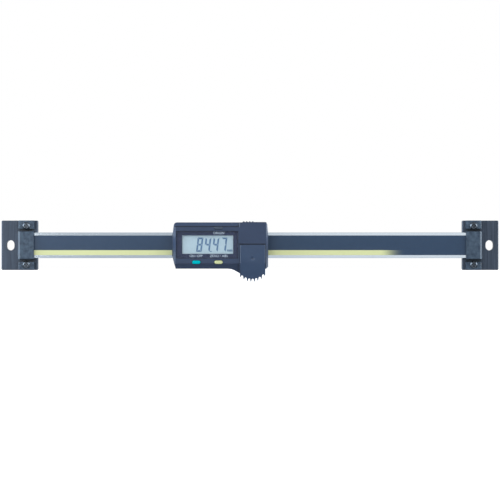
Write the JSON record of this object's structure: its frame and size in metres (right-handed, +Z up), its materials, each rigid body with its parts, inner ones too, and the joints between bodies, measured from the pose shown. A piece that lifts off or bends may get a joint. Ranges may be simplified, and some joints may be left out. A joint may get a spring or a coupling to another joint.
{
  "type": "digital linear scale",
  "caption": "Digital linear scale: a measuring slider with a liquid-crystal display and push buttons runs along a steel beam held in a slotted clamping bracket at each end.",
  "frame": {"origin": "on the mounting plane of the two brackets, midway between the centres of their slots", "axes": "+X along the beam to the right, +Z up across the beam, -Y out of the display towards the user"},
  "size_m": [0.3112, 0.0185, 0.0382],
  "materials": {
    "ground_steel": "ground, satin",
    "glass_epoxy": "laminated",
    "printed_film": "printed, semi-gloss",
    "black_anodised_aluminium": "brushed and anodised black",
    "black_painted_steel": "painted, satin",
    "black_steel_screws": "black oxide",
    "cast_zinc": "cast and painted dark grey",
    "stainless_plate": "brushed",
    "plated_screws": "zinc plated",
    "bronze": "ground",
    "housing_abs": "moulded, fine satin",
    "cover_abs": "moulded, fine satin",
    "acrylic_window": "clear, polished",
    "printed_mask": "printed black",
    "display_glass": "reflective liquid-crystal display",
    "black_plastic": "moulded",
    "conductive_rubber": "striped silicone",
    "chip_epoxy": "moulded",
    "switch_steel": "stamped",
    "teal_abs": "moulded, satin",
    "yellow_abs": "moulded, satin",
    "dark_abs": "moulded, satin",
    "nickel_steel": "nickel-plated steel can",
    "spring_brass": "nickel-plated spring strip",
    "gold_brass": "gold flashed"
  },
  "bodies": {
    "scale": {"beam": "ground_steel", "electrode_strip": "glass_epoxy", "scale_film": "printed_film", "left_bracket_base": "black_anodised_aluminium", "right_bracket_base": "black_anodised_aluminium", "left_beam_clamp": "black_painted_steel", "right_beam_clamp": "black_painted_steel", "left_clamp_screws": "black_steel_screws", "right_clamp_screws": "black_steel_screws"},
    "slider": {"slider_frame": "cast_zinc", "rear_plate": "stainless_plate", "assembly_screws": "plated_screws", "gib": "bronze", "gib_screws": "black_steel_screws", "front_housing": "housing_abs", "display_window": "acrylic_window", "display_mask": "printed_mask", "lcd_panel": "display_glass", "lcd_holder": "black_plastic", "contact_strips": "conductive_rubber", "circuit_board": "glass_epoxy", "controller_chip": "chip_epoxy", "key_switches": "switch_steel", "battery": "nickel_steel", "battery_negative_contact": "spring_brass", "battery_positive_contact": "spring_brass", "output_connector": "black_plastic", "connector_pins": "gold_brass"},
    "power_button": {"power_button": "teal_abs"},
    "zero_button": {"zero_button": "yellow_abs"},
    "origin_button": {"origin_button": "dark_abs"},
    "battery_cover": {"battery_cover": "cover_abs"},
    "port_cover": {"port_cover": "cover_abs"}
  },
  "joints": [
    {"name": "slider_travel", "type": "slide", "parent": "scale", "child": "slider", "axis": [1, 0, 0], "range_m": [-0.0843, 0.1215]},
    {"name": "power_button_press", "type": "slide", "parent": "slider", "child": "power_button", "axis": [0, 1, 0], "range_m": [0, 0.0004], "stiffness_N_per_m": 1500},
    {"name": "zero_button_press", "type": "slide", "parent": "slider", "child": "zero_button", "axis": [0, 1, 0], "range_m": [0, 0.0004], "stiffness_N_per_m": 1500},
    {"name": "origin_button_press", "type": "slide", "parent": "slider", "child": "origin_button", "axis": [0, 1, 0], "range_m": [0, 0.0004], "stiffness_N_per_m": 1500},
    {"name": "battery_cover_slide", "type": "slide", "parent": "slider", "child": "battery_cover", "axis": [0, 0, -1], "range_m": [0, 0.016]},
    {"name": "port_cover_slide", "type": "slide", "parent": "slider", "child": "port_cover", "axis": [1, 0, 0], "range_m": [0, 0.012]}
  ]
}
